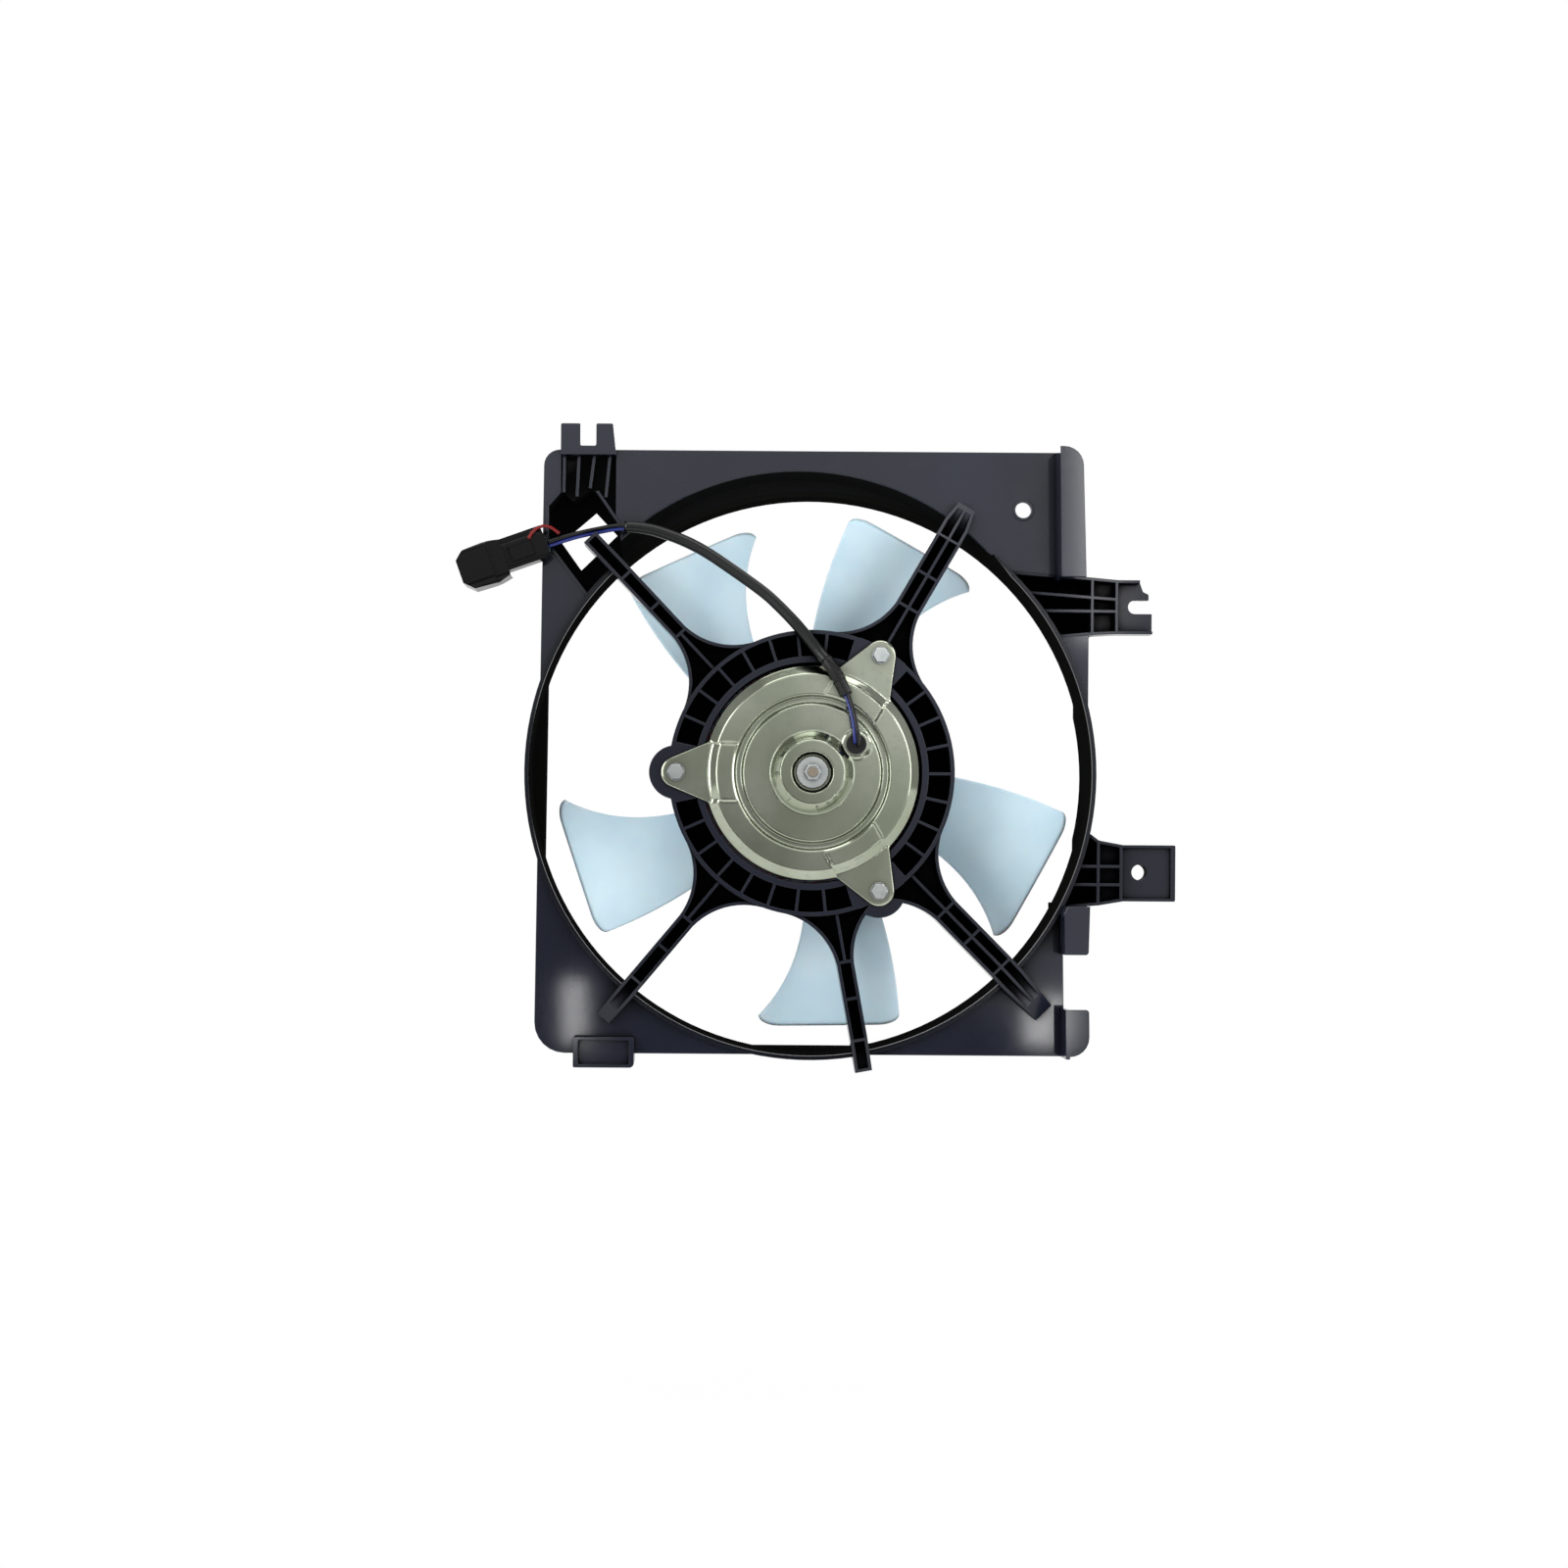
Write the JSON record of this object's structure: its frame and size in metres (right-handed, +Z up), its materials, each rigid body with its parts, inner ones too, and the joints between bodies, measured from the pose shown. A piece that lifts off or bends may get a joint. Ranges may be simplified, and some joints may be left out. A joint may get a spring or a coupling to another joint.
{
  "type": "radiator cooling fan",
  "caption": "Moulded box shroud with a ring duct and a spider of arms that carries a flat electric motor, a bladed fan on its shaft, a sleeved lead with a plug, and mounting ears.",
  "frame": {"origin": "on the fan's axis, in the plane of the shroud's radiator-side edge", "axes": "+Y along the fan's axis towards the radiator, so the motor is on the -Y side; +Z up the tall side of the shroud, +X towards the two side brackets"},
  "size_m": [0.4498, 0.0776, 0.4026],
  "materials": {
    "black_moulding": "satin, faint grain",
    "pale_moulding": "satin, slightly translucent",
    "passivated_steel": "zinc plate with a pale yellow passivation",
    "bare_steel": "drawn",
    "zinc_steel": "bright zinc",
    "ferrite": "ground",
    "brass": "turned",
    "copper": "enamelled wire",
    "bronze": "sintered, oiled",
    "carbon": "graphite",
    "card": "phenolic sheet",
    "felt": "oiled felt",
    "fibre": "insulating fibre",
    "rubber": "matte",
    "red_rubber": "matte",
    "teal_rubber": "matte",
    "blue_wire": "extruded",
    "black_wire": "extruded",
    "red_wire": "extruded",
    "sleeve": "soft tube",
    "plug_plastic": "glossy"
  },
  "bodies": {
    "housing": {"shroud_box": "black_moulding", "ring_duct": "black_moulding", "side_flange": "black_moulding", "upper_left_fork": "black_moulding", "upper_right_bracket": "black_moulding", "lower_right_bracket": "black_moulding", "lower_foot": "black_moulding", "motor_carrier": "black_moulding", "screw_inserts": "brass", "motor_cover": "passivated_steel", "motor_can": "bare_steel", "magnets": "ferrite", "magnet_clips": "bare_steel", "rear_bush": "bronze", "front_bush": "bronze", "bush_retainers": "bare_steel", "oil_felts": "felt", "brush_card": "card", "brush_tubes": "brass", "brush_spring_left": "bare_steel", "brush_spring_right": "bare_steel", "choke_coils": "copper", "motor_screws": "zinc_steel", "screw_washers": "zinc_steel", "thrust_screw": "brass", "thrust_nut": "zinc_steel", "thrust_washer": "zinc_steel", "lead_grommet": "rubber", "wire_blue": "blue_wire", "wire_black": "black_wire", "lead_sleeve": "sleeve", "tape_collar": "rubber", "plug_body": "plug_plastic", "plug_seal": "red_rubber", "wire_seals": "teal_rubber", "plug_pins": "brass", "red_wire_end": "red_wire"},
    "rotor": {"shaft": "bare_steel", "armature_core": "bare_steel", "armature_windings": "copper", "core_insulators": "fibre", "commutator": "copper", "thrust_rings": "brass", "fan_cup": "pale_moulding", "fan_blades": "pale_moulding", "hub_insert": "brass", "drive_pin": "bare_steel", "fan_nut": "zinc_steel", "fan_washer": "zinc_steel"},
    "brush_left": {"brush_left": "carbon"},
    "brush_right": {"brush_right": "carbon"},
    "plug_lock": {"plug_lock": "plug_plastic"}
  },
  "joints": [
    {"name": "fan_spin", "type": "hinge", "parent": "housing", "child": "rotor", "pos_m": [0, 0, 0], "axis": [0, 1, 0], "continuous": true},
    {"name": "brush_right_slide", "type": "slide", "parent": "housing", "child": "brush_right", "axis": [1, 0, 0], "range_m": [0, 0.003], "stiffness_N_per_m": 250, "springref_m": -0.004, "deforming": ["brush_spring_right"]},
    {"name": "brush_left_slide", "type": "slide", "parent": "housing", "child": "brush_left", "axis": [-1, 0, 0], "range_m": [0, 0.003], "stiffness_N_per_m": 250, "springref_m": -0.004, "deforming": ["brush_spring_left"]},
    {"name": "plug_lock_slide", "type": "slide", "parent": "housing", "child": "plug_lock", "axis": [-0.9421, 0, -0.3354], "range_m": [0, 0.0015]}
  ]
}
